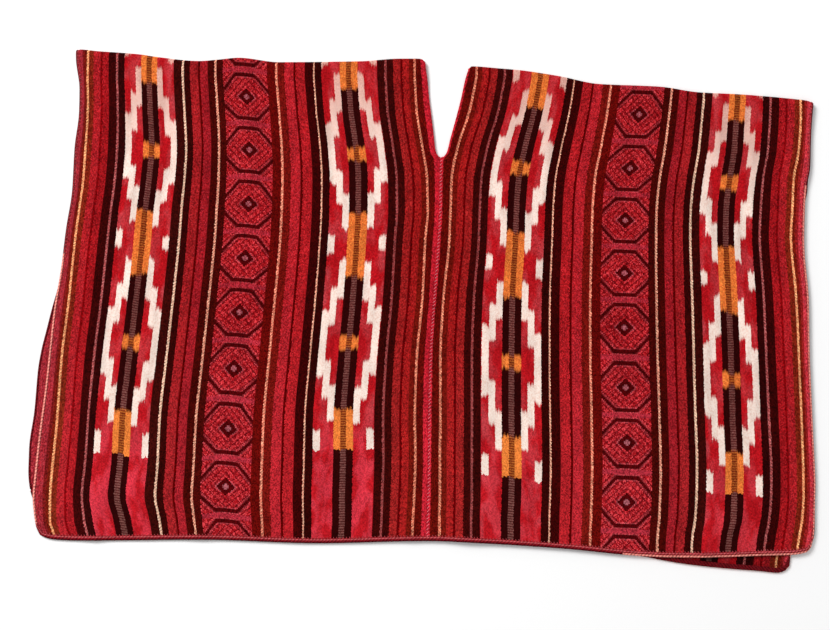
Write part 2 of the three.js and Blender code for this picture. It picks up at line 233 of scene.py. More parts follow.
def threadShift(side, share, x, y):  # how far the front's warp lies off an even spread
    knots, shifts = [0.0], [np.zeros_like(y)]
    start, width = cloth["spread"][side]
    outerX, innerX = x
    for place, run in threads[side].items():
        knot = (place - start) / width
        even = outerX * (1 - knot) + innerX * knot
        knots.append(knot)
        shifts.append(follow({"y": threadHeights, "x": run}, "y", "x", y) - even)
    knots.append(1.0)
    shifts.append(np.zeros_like(y))
    total = np.zeros_like(y)
    for k in range(len(knots) - 1):
        here = (share >= knots[k]) & (share < knots[k + 1])
        t = ease(share, knots[k], knots[k + 1])
        total = np.where(here, shifts[k] * (1 - t) + shifts[k + 1] * t, total)
    return total


def layerPlan(layer, side):  # one layer of one web: rows from its shoulder to its hem
    outer, slot, seam = layer[side]["outer"], layer[side]["slot"], layer["seam"]
    sign = 1 if side == "left" else -1
    slotEnd, seamEnd = seam["y"][0], seam["y"][-1]

    def atOuter(y):
        return follow(outer, "y", "x", y) + sign * cloth["inset"]

    def atInner(y):
        x = np.where(y > slotEnd, follow(slot, "y", "x", y), follow(seam, "y", "x", y))
        return x - sign * cloth["seamGap"] / 2

    first = cloth["lipWidth"] / cloth["width"]
    share = np.concatenate([[0], np.linspace(first, 1, cloth["columns"])])
    topX = atOuter(outer["y"][0]) * (1 - share) + atInner(slot["y"][0]) * share
    lowX = atOuter(outer["y"][-1]) * (1 - share) + atInner(seamEnd) * share
    high = follow(shoulders[side], "x", "y", topX) - cloth["bendRadius"] - cloth["wall"] / 2
    hem = follow(layer["hem"], "x", "y", lowX) + cloth["inset"]
    lipRow = hem[-1] + cloth["lipWidth"]
    foot = slotEnd + np.array(cloth["slotFoot"])
    below = int((slotEnd - lipRow) / cloth["course"])
    courses = np.concatenate([np.linspace(high[-1], foot[0] + 3, cloth["slotCourses"]), foot,
                              np.linspace(slotEnd, lipRow, below), [hem[-1]]])
    depth = ((high[-1] - courses) / (high[-1] - hem[-1]))[:, None]
    y = high * (1 - depth) + hem * depth
    outerX, innerX = atOuter(y), atInner(y)
    x = outerX * (1 - share) + innerX * share
    if layer is frontLayer:
        x = x + threadShift(side, share * np.ones_like(y), (outerX, innerX), y)
    return x, y, high - y, share * np.ones_like(y)


def webSurface(side):  # a web's middle surface, front hem over the shoulder to back hem
    x, y, below, share = layerPlan(frontLayer, side)
    radius, half = cloth["bendRadius"], cloth["wall"] / 2
    quarter = radius * math.pi / 2
    settle = ease(below, 0, cloth["bendSettle"])
    z = (2 * radius + backUnder(x, y)) * (1 - settle) + frontUnder(x, y) * settle + half
    stretches = [np.stack([x, y, z, share, below + quarter], -1)[::-1]]
    backX, backY, backBelow, backShare = layerPlan(backLayer, side)
    for step in range(1, cloth["bendSteps"]):
        turn = step / cloth["bendSteps"] * math.pi
        t = step / cloth["bendSteps"]
        crestX, crestY = x[0] * (1 - t) + backX[0] * t, y[0] + radius * math.sin(turn)
        crestZ = backUnder(x[0], y[0]) + half + radius * (1 + math.cos(turn))
        reach = np.full_like(crestX, radius * (math.pi / 2 - turn))
        stretches.append(np.stack([crestX, crestY, crestZ, share[0], reach], -1)[None])
    backZ = backUnder(backX, backY) + half
    stretches.append(np.stack([backX, backY, backZ, backShare, -backBelow - quarter], -1))
    grid = np.concatenate(stretches)
    places, marks = grid[..., :3], grid[..., 3:]
    along, across = np.empty_like(places), np.empty_like(places)
    along[1:-1] = places[2:] - places[:-2]
    along[0], along[-1] = places[1] - places[0], places[-1] - places[-2]
    across[:, 1:-1] = places[:, 2:] - places[:, :-2]
    across[:, 0], across[:, -1] = places[:, 1] - places[:, 0], places[:, -1] - places[:, -2]
    out = np.cross(across, along) * (1 if side == "left" else -1)
    out /= np.linalg.norm(out, axis=-1, keepdims=True)
    return {"places": places, "out": out, "share": marks[..., 0], "reach": marks[..., 1], "side": side,
            "frontRows": len(x), "slotRows": cloth["slotCourses"] + len(cloth["slotFoot"])}


def meshPiece(name, points, faces, marks=None):  # points in mm as the garment lies, marks as UVs in m
    middle = np.array([*cloth["middle"], 0])
    placed = (np.asarray(points) - middle) * mm
    a, b, c = (placed[[face[k] for face in faces]] for k in (0, 1, 2))
    if (a * np.cross(b, c)).sum() < 0:
        faces = [face[::-1] for face in faces]
    mesh = bpy.data.meshes.new(name)
    mesh.from_pydata(placed.tolist(), [], faces)
    mesh.polygons.foreach_set("use_smooth", [True] * len(mesh.polygons))
    if marks is not None:
        corners = np.empty(len(mesh.loops), int)
        mesh.loops.foreach_get("vertex_index", corners)
        mesh.uv_layers.new(name="cloth").data.foreach_set("uv", np.asarray(marks)[corners].ravel())
    mesh.update()
    piece = bpy.data.objects.new(name, mesh)
    scene.collection.objects.link(piece)
    return piece


def sweepFaces(stations, count):  # quads of a body swept through rings of count points
    i, j = np.meshgrid(np.arange(stations - 1), np.arange(count), indexing="ij")
    a, b = i * count + j, i * count + (j + 1) % count
    return np.stack([a, b, b + count, a + count], -1).reshape(-1, 4).tolist()


def webPiece(name, surface):  # a thin closed wall with rounded bare edges
    places, out, share, reach = (surface[key] for key in ("places", "out", "share", "reach"))
    half = cloth["wall"] / 2
    start, width = cloth["spread"][surface["side"]]
    side = 1 if surface["side"] == "left" else -1
    rim = np.array([side * cloth["rim"], 0, 0])
    face, lining = places + out * half, places - out * half
    rings = np.concatenate([face, places[:, -1:] + rim, lining[:, ::-1], places[:, :1] - rim], 1)
    marks = np.stack([(start + share * width) * mm, reach * mm], -1)
    ringMarks = np.concatenate([marks, marks[:, -1:], marks[:, ::-1], marks[:, :1]], 1)
    stations, count = rings.shape[:2]
    columns = places.shape[1]
    faces = sweepFaces(stations, count)
    for first in (0, (stations - 1) * count):
        strip = []
        for j in range(columns - 1):
            strip.append([first + j, first + j + 1, first + 2 * columns - 1 - j, first + 2 * columns - j])
        strip.append([first + columns - 1, first + columns, first + columns + 1])
        strip.append([first + 2 * columns, first + 2 * columns + 1, first])
        faces += [corner[::-1] for corner in strip] if first == 0 else strip
    return meshPiece(name, rings.reshape(-1, 3), faces, ringMarks.reshape(-1, 2))


webs = {side: webSurface(side) for side in ("left", "right")}
lastRow, columnsAcross = webs["left"]["places"].shape[0] - 1, webs["left"]["places"].shape[1]
webLeft = webPiece("woven_web_left", webs["left"])
webRight = webPiece("woven_web_right", webs["right"])
for piece, node in ((webLeft, "web_left"), (webRight, "web_right")):
    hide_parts(node)
print("poncho: two webs woven,", sum(len(piece.data.polygons) for piece in (webLeft, webRight)), "faces")

# The binding: a narrow edging folded round the cloth's edge.
binding = {
    "lip": 0.7,
    "lipRise": (0.72, 1.4),  # how high the lip's inner edge stands, and how fast it rises from there
    "crown": 0.35,  # how far the lip swells between its edges
    "sideLip": 0.3,  # share of the first column that the lip covers up the sides
    "lipSteps": 4,
    "sideSteps": 7,
    "cornerRows": 3.2,  # rows from a hem to where its corner ends and the side edging starts
    "clear": 0.05,  # between the cloth's face and the inside of the lip
    "clearEdge": 0.1,
}


def placeOn(surface, column, row):  # a place and outward direction at fractional column and row
    found = []
    j, i = min(int(column), surface["places"].shape[1] - 2), min(int(row), surface["places"].shape[0] - 2)
    s, t = column - j, row - i
    for grid in (surface["places"], surface["out"]):
        near = grid[i, j] * (1 - s) + grid[i, j + 1] * s
        far = grid[i + 1, j] * (1 - s) + grid[i + 1, j + 1] * s
        found.append(near * (1 - t) + far * t)
    return found[0], found[1] / np.linalg.norm(found[1])


def bindingRing(edge, lip):  # a channel round the edge: lips, rounded outer side, and the slot inside
    (edgeAt, edgeOut), (lipAt, lipOut) = edge, lip
    away = (edgeAt - lipAt) / np.linalg.norm(edgeAt - lipAt)
    near = cloth["wall"] / 2 + binding["clear"]
    far = cloth["wall"] / 2 + cloth["seamGap"] + binding["lip"]
    width = np.linalg.norm(edgeAt - lipAt)
    start, slope = binding["lipRise"]
    ring = []
    for face in (1, -1):
        lips = []
        for t in np.linspace(0, 1, binding["lipSteps"]):
            swell = binding["crown"] * math.sin(math.pi * t) if face > 0 else 0
            rise = far * min(1, start + slope * t) + swell
            body, out = lipAt * (1 - t) + edgeAt * t, lipOut * (1 - t) + edgeOut * t
            lips.append((body + out * face * rise, width * t))
        if face < 0:
            ring += [(point, 2 * width + 2 * far - spot) for point, spot in lips[::-1]]
            continue
        ring += lips
        for k in range(1, binding["sideSteps"]):
            turn = math.pi * k / binding["sideSteps"]
            point = edgeAt + away * cloth["inset"] * math.sin(turn) + edgeOut * far * math.cos(turn)
            ring.append((point, width + far * 2 * k / binding["sideSteps"]))
    ring.append((lipAt - lipOut * near, 2 * width + 2 * far))
    foot = edgeAt + away * binding["clearEdge"]
    ring.append((foot - edgeOut * near, 2 * width + 2 * far))
    ring.append((foot + edgeOut * near, 0))
    ring.append((lipAt + lipOut * near, 0))
    return np.array([point for point, _ in ring]), np.array([spot for _, spot in ring])


def bindingPiece(name, rings):
    count = len(rings[0][0])
    middles = np.array([points.mean(0) for points, _ in rings])
    run = np.concatenate([[0], np.cumsum(np.linalg.norm(np.diff(middles, axis=0), axis=1))])
    marks = [np.stack([spots, np.full(count, at)], -1) for (_, spots), at in zip(rings, run)]
    faces = sweepFaces(len(rings), count)
    last = (len(rings) - 1) * count
    faces += [list(range(count))[::-1], [last + k for k in range(count)]]
    points = np.concatenate([points for points, _ in rings])
    return meshPiece(name, points, faces, np.concatenate(marks) * mm)


def hemRings(surface, hemRow, inward):  # from the rounded outer corner to the middle seam
    def ring(edge, lip):
        return bindingRing(placeOn(surface, edge[0], hemRow + inward * edge[1]),
                           placeOn(surface, lip[0], hemRow + inward * lip[1]))

    lipUp, rows = binding["sideLip"], binding["cornerRows"]
    corner = [((0, rows), (lipUp, rows)), ((0, 2.6), (0.4, 2.6)), ((0, 2), (0.6, 2.05)),
              ((0, 1.4), (0.8, 1.7)), ((0, 0.8), (0.9, 1.4)), ((0, 0.3), (0.95, 1.15)), ((0, 0), (1, 1)),
              ((0.5, 0), (1.1, 1)), ((1, 0), (1.35, 1)), ((1.6, 0), (1.8, 1))]
    straight = [((column, 0), (column, 1)) for column in range(2, surface["places"].shape[1])]
    return [ring(edge, lip) for edge, lip in corner + straight]


def hemBinding(name, front):
    hemRow, inward = (0, 1) if front else (lastRow, -1)
    left, right = (hemRings(webs[side], hemRow, inward) for side in ("left", "right"))
    middle = ((left[-1][0] + right[-1][0]) / 2, left[-1][1])
    return bindingPiece(name, left[:-1] + [middle] + right[:-1][::-1])


def sideBinding(name, surface):
    rings = []
    for row in np.arange(binding["cornerRows"], lastRow - binding["cornerRows"], 1):
        rings.append(bindingRing(placeOn(surface, 0, row), placeOn(surface, binding["sideLip"], row)))
    return bindingPiece(name, rings)


hemFront = hemBinding("hem_edging_front", True)
hemBack = hemBinding("hem_edging_back", False)
sideLeft = sideBinding("side_edging_left", webs["left"])
sideRight = sideBinding("side_edging_right", webs["right"])
bindings = {"hem_binding_front": hemFront, "hem_binding_back": hemBack,
            "side_binding_left": sideLeft, "side_binding_right": sideRight}
for node, piece in bindings.items():
    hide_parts(node)
print("poncho: bindings folded round the hems and sides")


def linear(code):  # sRGB hex to linear RGBA
    parts = [int(code[k:k + 2], 16) / 255 for k in (1, 3, 5)]
    return [c / 12.92 if c <= 0.04045 else ((c + 0.055) / 1.055) ** 2.4 for c in parts] + [1]


def addNode(tree, kind, inputs=(), out=0, **settings):  # a kind in capitals is a math node
    if kind.isupper():
        kind, settings["operation"] = "ShaderNodeMath", kind
    node = tree.nodes.new(kind)
    for key, value in settings.items():
        setattr(node, key, value)
    for key, value in inputs.items() if isinstance(inputs, dict) else enumerate(inputs):
        if isinstance(value, bpy.types.NodeSocket):
            tree.links.new(value, node.inputs[key])
        elif isinstance(value, str) and value.startswith("#"):
            node.inputs[key].default_value = linear(value)
        else:
            node.inputs[key].default_value = value
    return node.outputs[out] if node.outputs else node


def setStops(socket, span, rows):  # a ramp's stops from (mm, colour) rows over a span of mm
    ramp = socket.node.color_ramp
    ramp.interpolation = "CONSTANT"
    low, high = span
    for k, (at, colour) in enumerate(rows):
        stop = ramp.elements[k] if k < 2 else ramp.elements.new(0.999)
        stop.position = (at - low) / (high - low)
        stop.color = linear(colour)
    return socket


def setCurve(socket, points, handles="AUTO_CLAMPED"):
    curve = socket.node.mapping.curves[0]
    for k, (x, y) in enumerate(points):
        spot = curve.points[k] if k < 2 else curve.points.new(x, y)
        spot.location = (x, y)
        spot.handle_type = handles
    socket.node.mapping.update()
    return socket


# Where each stripe starts, in mm from a web's outer edge, and the yarn it is woven in.
outerStripes = [
    (0, "#b4303a"), (12.5, "#861a1a"), (17.5, "#72180a"), (22.3, "#ec9a6a"), (25.5, "#7a2010"),
    (34, "#a61c22"), (45.5, "#7c0408"), (48.7, "#9c141a"), (59.5, "#340303"), (73.2, "#a04c4c"),
    (76.6, "#2c0303"), (88, "#af1620"), (173.5, "#360604"), (187.4, "#dcae94"), (190.6, "#300302"),
    (202, "#981a1e"), (216.4, "#540000"), (219.6, "#961820"), (232, "#400402"), (245, "#d88e76"),
    (248.5, "#420503"), (259.5, "#a0161c"),
]
innerStripes = [
    (303, "#a0161c"), (336.5, "#5e0604"), (351, "#dc7e66"), (354.6, "#6e0f0a"), (366, "#ac1e26"),
    (381.5, "#560000"), (385.5, "#a6191f"), (401, "#360202"), (415, "#dc9a80"), (418.2, "#2e0302"),
    (430, "#af1620"), (524.5, "#340403"), (537.3, "#8c3a3a"), (540.7, "#380403"), (551.5, "#941a1a"),
    (563.5, "#600002"), (566.5, "#961616"), (578, "#6a1008"), (586.4, "#d87a60"), (589.6, "#5c0804"),
    (600.5, "#b81c2a"),
]
weave = {  # the yarns on the face, in mm, about twice as coarse as spun so that they show
    "warp": 1.5,  # spacing of the warp yarns
    "pick": 1.9,  # how long each yarn lies on the face
    "bead": (0.45, 1.55),  # how dark and how light single yarns come out
    "tint": ((0.95, 0.8, 0.8, 1), (1.18, 1.5, 1.5, 1)),  # dull yarns, and bright ones: painted glints where the light catches
    "paintedSheen": (1.25, 1.75, 1.7, 1),  # and where painted sheen makes them paler and pinker
    "plied": {"pitch": 4.8, "lean": 0.9, "shade": (0.7, 1.32)},  # the light lines' thicker two-ply yarn
    "relief": 0.6 * mm,
    "line": (0.034, 0.05),  # the light lines are told from the rest by their green
    "undyed": (0.22, 0.66),
}
toneAndPaintedLight = {  # uneven dye and painted light and shade, in mm down from the shoulder, or across from the outer edge
    # painted sheen down the front: where it starts and where it is full
    "paintedSheen": (360, 660),
    "across": (60, 300),
    "bareEdge": (10, 30),  # the very edge gets no painted sheen
    "paintedHemShade": (-735, -695),  # the back's hem, darkened: painted shade where the front hangs over it
    # painted light and shade on the outer band, fading out between these
    "edge": (16.5, 18.5),
    "pink": (540, 690),  # the ikat's red below the last long block
    "dimNearShoulder": (10, 200),  # the ikat's white, darker and pinker towards the shoulder
    "cloud": ((20, 71.4), 0.84, 1.16),  # size and shades of the patches where the dye took unevenly
}
webPaintedLightAndPink = {  # how much painted sheen each web gets near its outer and inner edge, its outer band's painted light and shade (lighter above 1, darker below 1), and its pink
    "left": {"outer": 0.7, "inner": 0.5, "edge": 0.78, "pink": 0.8},
    "right": {"outer": 0.05, "inner": 0.7, "edge": 1.3, "pink": 0.35},
}

# The ikat bands, tie-dyed in the warp: where each turn of the pattern lies, in mm below the shoulder.
# Even turns are small orange blocks and odd ones long blocks.
ikat = {
    "left": {
        "centre": (131, 477.5), "half": (43, 47.25),
        "outer": {"down": [47, 159.5, 306, 470.5, 578.5, 622], "end": 648},
        "inner": {"down": [48, 156, 302, 462, 568, 610], "end": 632},
    },
    "right": {
        "centre": (131.5, 477.5), "half": (43.5, 47),
        "outer": {"down": [46, 148, 305, 466, 581, 622], "end": 645},
        "inner": {"down": [60, 159, 318, 473, 593, 634], "end": 656},
    },
    "turn": [-0.66, 0, 1, 2, 2.66, 3], "span": (-100, 700), "turns": (-2, 3.2), "step": 156,
    "bundles": (0.325, 0.545, 0.765),  # edges of the tied bundles, over half the band
    "orange": (9.6, 104), "white": ((68, 128), (28, 86), (51, 144)), "ladder": 4.5, "rung": 3.9,
    "slip": {"size": (9.09, 250), "bundle": 4.8, "yarn": 4.0, "bead": 1.8, "mean": 2.9},  # in the ties
    "feather": 3.0, "blotch": (20, 50), "slack": 0.6,  # how much of the slip a band's end takes
}
medallion = {
    "left": [-25, 65.5, 153.5, 243, 331.5, 419, 509, 604, 695],
    "right": [-41, 49, 138, 223.5, 309.5, 397, 493, 580, 673],
    "centre": 298.3, "half": 38.4, "pitch": 90, "between": 41.2, "flat": 36.6,
    "cut": (0.725, 0.688, 37.4),  # slope and distance of an octagon's cut corners
    "line": 3.1, "halo": 5.0, "diamond": (14.5, 13.8), "eye": 0.42, "trellis": 5.4, "stitch": (2.3, 2.3),
}
blend, remap = "ShaderNodeMix", "ShaderNodeMapRange"
asColour, smooth = {"out": 2, "data_type": "RGBA"}, {"interpolation_type": "SMOOTHSTEP"}


def clothPlane(add):  # places on a piece in millimetres, and the first and second of their two numbers
    uv = add("ShaderNodeUVMap", uv_map="cloth")
    plane = add("ShaderNodeVectorMath", (uv, (1000, 1000, 1000)), operation="MULTIPLY")
    across = add("ShaderNodeSeparateXYZ", (plane,))
    return plane, across, across.node.outputs[1]


def patches(add, plane, size, low=0.3, high=0.7):  # soft patches of a size in mm, across and down
    place = add("ShaderNodeMapping", {0: plane, 3: (1 / size[0], 1 / size[1], 1)})
    noise = add("ShaderNodeTexNoise", {"Vector": place, "Scale": 1.0, "Detail": 2.0})
    return add(remap, (noise, 0.3, 0.7, low, high))


def clothPlaces(add):  # millimetres across and down the cloth, and the yarn under each place
    plane, across, down = clothPlane(add)
    yarn = add("DIVIDE", (across, weave["warp"]))
    yarnNumber = add("FLOOR", (yarn,))
    odd = add("FLOORED_MODULO", (yarnNumber, 2.0))
    pick = add("DIVIDE", (down, weave["pick"]))
    pick = add("MULTIPLY_ADD", (odd, 0.5, pick))
    pickNumber = add("FLOOR", (pick,))
    spot = add("ShaderNodeCombineXYZ", (yarnNumber, pickNumber, 0.0))
    own = add("ShaderNodeTexWhiteNoise", (spot,), noise_dimensions="2D")
    yarnOwn = add("ShaderNodeTexWhiteNoise", {"W": yarnNumber}, noise_dimensions="1D")
    domes = []
    for value in (yarn, pick):
        part = add("FRACT", (value,))
        part = add("MULTIPLY", (part, math.pi))
        domes.append(add("SINE", (part,)))
    dome = add("MULTIPLY", domes)
    dome = add("POWER", (dome, 0.5))
    nudge = add(remap, (own, 0.0, 1.0, -0.5, 0.5))
    ragged = add("ADD", (across, nudge))
    return {"across": across, "down": down, "ragged": ragged, "own": own, "yarnOwn": yarnOwn, "dome": dome,
            "plane": plane}


def stripeColours(add, places):
    sides = []
    half = innerStripes[0][0]
    for low, high, rows in ((0, half, outerStripes), (half, cloth["width"], innerStripes)):
        at = add(remap, (places["ragged"], low, high, 0.0, 1.0))
        sides.append(setStops(add("ShaderNodeValToRGB", (at,)), (low, high), rows))
    isInner = add("GREATER_THAN", (places["across"], half))
    places["isInner"] = isInner
    return add(blend, {0: isInner, 6: sides[0], 7: sides[1]}, **asColour)


def bandTurn(add, down, band):  # how far through its repeat a band is, from its own turning places
    low, high = ikat["span"]
    first, last = ikat["turns"]
    rows = list(zip(band["down"], ikat["turn"]))
    rows.insert(0, (low, rows[0][1] - (rows[0][0] - low) / ikat["step"]))
    rows.append((high, rows[-1][1]))
    at = add(remap, (down, low, high, 0.0, 1.0))
    points = [((x - low) / (high - low), (turn - first) / (last - first)) for x, turn in rows]
    at = setCurve(add("ShaderNodeFloatCurve", (1.0, at)), points, "VECTOR")
    turned = add("MULTIPLY_ADD", (at, last - first, first))
    behind = add("ADD", (down, -low))
    behind = add("MINIMUM", (behind, 0.0))
    return add("MULTIPLY_ADD", (behind, 1 / ikat["step"], turned))


def ikatColours(add, places, side):
    down, isInner = places["down"], places["isInner"]
    facts, slips, feather = ikat[side], ikat["slip"], ikat["feather"]
    turns = [bandTurn(add, down, facts[key]) for key in ("outer", "inner")]
    turn = add(blend, {0: isInner, 2: turns[0], 3: turns[1]}, data_type="FLOAT")
    both = {}
    for key, (outer, inner) in {"centre": facts["centre"], "half": facts["half"],
                                "end": (facts["outer"]["end"], facts["inner"]["end"])}.items():
        both[key] = add("MULTIPLY_ADD", (isInner, inner - outer, outer))
    off = add("SUBTRACT", (places["ragged"], both["centre"]))
    off = add("ABSOLUTE", (off,))
    bundle = add("DIVIDE", (off, both["half"]))
    # each yarn slips a little in its tie, neighbours much alike
    slip = patches(add, places["plane"], slips["size"], -slips["bundle"], slips["bundle"])
    slip = add("MULTIPLY_ADD", (places["yarnOwn"], slips["yarn"], slip))
    slip = add("MULTIPLY_ADD", (places["own"], slips["bead"], slip))
    slip = add("SUBTRACT", (slip, slips["mean"]))
    along = add("PINGPONG", (turn, 1.0))
    along = add("MULTIPLY_ADD", (along, ikat["step"], slip))
    before = add("ABSOLUTE", (down,))
    before = add("SUBTRACT", (before, both["end"]))
    before = add("MULTIPLY_ADD", (slip, ikat["slack"], before))
    before = add("LESS_THAN", (before, 0.0))
    masks = []
    for low, high in (ikat["orange"], *ikat["white"]):
        rise = add(remap, (along, low - feather, low + feather, 0.0, 1.0))
        fall = add(remap, (along, high - feather, high + feather, 0.0, 1.0))
        masks.append(add("SUBTRACT", (rise, fall)))
    for k in (0, 3):
        masks[k] = add("SUBTRACT", (1.0, masks[k]))
    masks = [add("MULTIPLY", (mask, before)) for mask in masks]
    steps = [add("GREATER_THAN", (bundle, edge)) for edge in ikat["bundles"]]
    white = add(blend, {0: steps[1], 2: masks[1], 3: masks[2]}, data_type="FLOAT")
    white = add(blend, {0: steps[2], 2: white, 3: masks[3]}, data_type="FLOAT")
    # the red is blotched: dusty in the outer bundles, and pink below the last long block
    blotch = patches(add, places["plane"], ikat["blotch"])
    dusty = add(remap, (blotch, 0.42, 0.62, 0.0, 1.0), **smooth)
    outerMost = add(remap, (bundle, 0.7, 0.95, 0.55, 0.95))
    dusty = add("MULTIPLY", (dusty, outerMost))
    red = add(blend, {0: dusty, 6: "#b0121a", 7: "#b83a40"}, **asColour)
    low = add(remap, (down, *toneAndPaintedLight["pink"], 0.0, webPaintedLightAndPink[side]["pink"]), **smooth)
    pinker = add(remap, (blotch, 0.4, 0.6, 0.1, 1.0), **smooth)
    pinker = add("MULTIPLY", (low, pinker))
    red = add(blend, {0: pinker, 6: red, 7: "#ce2c3c"}, **asColour)
    dimNearShoulder = add(remap, (down, *toneAndPaintedLight["dimNearShoulder"], 0.9, 0.05), **smooth)
    bleached = add(blend, {0: dimNearShoulder, 6: "#fce8dc", 7: "#d8988c"}, **asColour)
    stained = add(remap, (places["own"], 0.3, 1.0, 0.0, 0.6))
    bleached = add(blend, {0: stained, 6: bleached, 7: "#d8aa98"}, **asColour)
    flank = add(blend, {0: white, 6: red, 7: bleached}, **asColour)
    # the middle: black or orange, with a ladder of rungs up it
    rungPhase = add("MULTIPLY", (down, 2 * math.pi / ikat["rung"]))
    rungPhase = add("MULTIPLY_ADD", (places["own"], 1.6, rungPhase))
    rung = add("SINE", (rungPhase,))
    rung = add(remap, (rung, -0.8, 0.8, 0.0, 1.0))
    onLadder = add("LESS_THAN", (off, ikat["ladder"]))
    darkRung = add(blend, {0: rung, 6: "#4c1818", 7: "#76443f"}, **asColour)
    warmRung = add(blend, {0: rung, 6: "#6c1e0e", 7: "#a4521f"}, **asColour)
    core = add(blend, {0: masks[0], 6: "#2a0303", 7: "#e07232"}, **asColour)
    ladder = add(blend, {0: masks[0], 6: darkRung, 7: warmRung}, **asColour)
    core = add(blend, {0: onLadder, 6: core, 7: ladder}, **asColour)
    inBand = add("LESS_THAN", (bundle, 1.0))
    return inBand, add(blend, {0: steps[0], 6: core, 7: flank}, **asColour)


def medallionColours(add, places, side):  # octagons in picked-up warp, worked in whole stitches
    centres = medallion[side]
    down = places["down"]
    low, high = centres[0], centres[-1]
    at = add(remap, (down, low, high, 0.0, 1.0))
    points = [((centre - low) / (high - low), k / (len(centres) - 1)) for k, centre in enumerate(centres)]
    number = setCurve(add("ShaderNodeFloatCurve", (1.0, at)), points)
    number = add("MULTIPLY", (number, len(centres) - 1))
    past = []
    for edge, kind in ((low, "MINIMUM"), (high, "MAXIMUM")):
        away = add("SUBTRACT", (down, edge))
        past.append(add(kind, (away, 0.0)))
    past = add("ADD", past)
    number = add("MULTIPLY_ADD", (past, 1 / medallion["pitch"], number))
    away = add("PINGPONG", (number, 0.5))
    away = add("MULTIPLY", (away, medallion["pitch"]))
    aside = add("SUBTRACT", (places["ragged"], medallion["centre"]))
    aside = add("ABSOLUTE", (aside,))
    wide, tall = medallion["stitch"]
    stitchAside = add("SNAP", (aside, wide))
    stitchAway = add("SNAP", (away, tall))
    stitchAside = add("ADD", (stitchAside, wide / 2))
    stitchAway = add("ADD", (stitchAway, tall / 2))
    cutA, cutB, cutAt = medallion["cut"]
    slope = add("MULTIPLY_ADD", (stitchAway, cutB, -cutAt))
    slope = add("MULTIPLY_ADD", (stitchAside, cutA, slope))
    top = add("SUBTRACT", (away, medallion["flat"]))
    edge = add("MAXIMUM", (slope, top))
    ring = add("ABSOLUTE", (edge,))
    # ground: light and dark stitches by turns, with darker slanting lines round the middle
    fleck = add(remap, (places["own"], 0.4, 0.95, 0.0, 0.8))
    ground = add(blend, {0: fleck, 6: "#ae121a", 7: "#be383e"}, **asColour)
    for kind, strength in (("ADD", 0.9), ("SUBTRACT", 0.6)):
        slant = add(kind, (stitchAside, stitchAway))
        slant = add("PINGPONG", (slant, medallion["trellis"]))
        slant = add(remap, (slant, 0.8, 1.7, strength, 0.0))
        ground = add(blend, {0: slant, 6: ground, 7: "#5c060e"}, **asColour)
    halo = add(remap, (ring, medallion["halo"] - 0.6, medallion["halo"] + 0.6, 0.35, 0.0))
    ground = add(blend, {0: halo, 6: ground, 7: "#b44850"}, **asColour)
    between = add("GREATER_THAN", (away, medallion["between"]))
    ground = add(blend, {0: between, 6: ground, 7: "#a42430"}, **asColour)
    line = add(remap, (ring, medallion["line"] - 0.4, medallion["line"] + 0.4, 1.0, 0.0))
    figure = add(blend, {0: line, 6: ground, 7: "#480204"}, **asColour)
    wide, tall = medallion["diamond"]
    lozenge = add("MULTIPLY", (stitchAside, 1 / wide))
    lozenge = add("MULTIPLY_ADD", (stitchAway, 1 / tall, lozenge))
    for size, colour in ((1.14, "#a83c44"), (1.02, "#480204"), (medallion["eye"], "#984850")):
        within = add("LESS_THAN", (lozenge, size))
        figure = add(blend, {0: within, 6: figure, 7: colour}, **asColour)
    inBand = add("LESS_THAN", (aside, medallion["half"]))
    return inBand, figure


def emptyMaterial(name):  # a material with no nodes, and the way to add them
    material = bpy.data.materials.new(name)
    material.use_nodes = True
    material.node_tree.nodes.clear()
    return material, partial(addNode, material.node_tree)


def finishWool(add, colour, bump):  # spun wool is matt, with a faint sheen of loose fibre
    shader = add("ShaderNodeBsdfPrincipled", {
        "Base Color": colour, "Normal": bump, "Roughness": 0.92, "Specular IOR Level": 0.02,
        "Sheen Weight": 0.004, "Sheen Roughness": 0.6})
    add("ShaderNodeOutputMaterial", (shader,))


